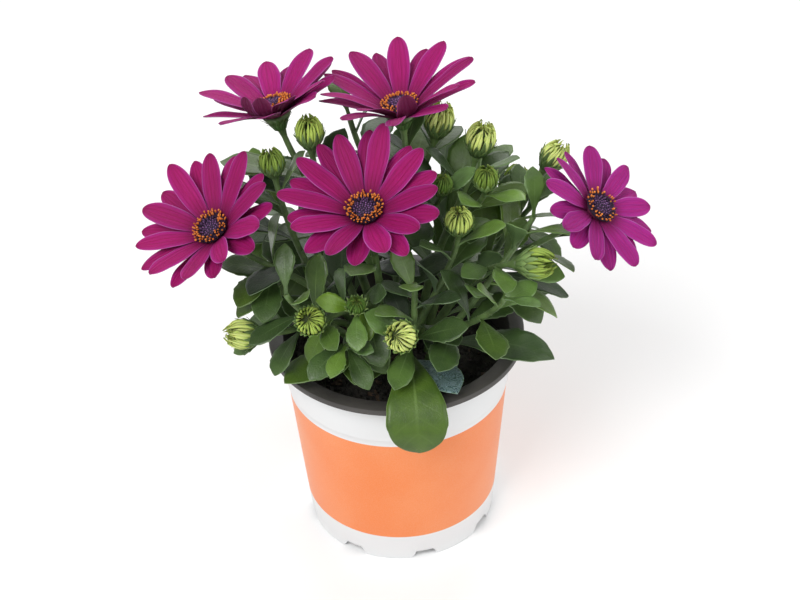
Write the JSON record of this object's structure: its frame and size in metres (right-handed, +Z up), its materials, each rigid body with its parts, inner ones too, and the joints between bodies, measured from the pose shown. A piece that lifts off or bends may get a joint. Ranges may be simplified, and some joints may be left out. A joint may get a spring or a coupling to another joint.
{
  "type": "potted osteospermum",
  "caption": "Potted osteospermum: tapered thin plastic pot with a flat rim, soil, branching stems with toothed leaves, open daisy blooms with dark raised discs, and closed ribbed buds.",
  "frame": {"origin": "centre of the pot's foot, on the surface that the pot stands on", "axes": "+Z up along the pot's axis; the plant's fullest side, with most blooms and the large leaf over the rim, faces -Y; +X is to the right of a viewer on that side"},
  "size_m": [0.2298, 0.1542, 0.2386],
  "materials": {
    "pot": "satin",
    "soil": "matte",
    "leaf": "satin",
    "petals": "matte",
    "disc": "matte",
    "florets": "matte",
    "bud": "satin"
  },
  "bodies": {
    "root": {"pot": "pot", "soil": "soil", "leafy_stem_1": "leaf", "leafy_stem_2": "leaf", "leafy_stem_3": "leaf", "leafy_stem_4": "leaf", "leafy_stem_5": "leaf", "leafy_stem_6": "leaf", "leafy_stem_7": "leaf", "leafy_stem_8": "leaf", "leafy_stem_9": "leaf", "leafy_stem_10": "leaf", "leafy_stem_11": "leaf", "leafy_stem_12": "leaf", "bloom_1_petals": "petals", "bloom_1_disc": "disc", "bloom_1_florets": "florets", "bloom_2_petals": "petals", "bloom_2_disc": "disc", "bloom_2_florets": "florets", "bloom_3_petals": "petals", "bloom_3_disc": "disc", "bloom_3_florets": "florets", "bloom_4_petals": "petals", "bloom_4_disc": "disc", "bloom_4_florets": "florets", "bloom_5_petals": "petals", "bloom_5_disc": "disc", "bloom_5_florets": "florets", "bud_1": "bud", "bud_2": "bud", "bud_3": "bud", "bud_4": "bud", "bud_5": "bud", "bud_6": "bud", "bud_7": "bud", "bud_8": "bud", "bud_9": "bud", "bud_10": "bud", "bud_11": "bud", "bud_12": "bud", "bud_13": "bud", "bud_14": "bud", "bud_15": "bud", "bud_16": "bud"}
  },
  "joints": []
}
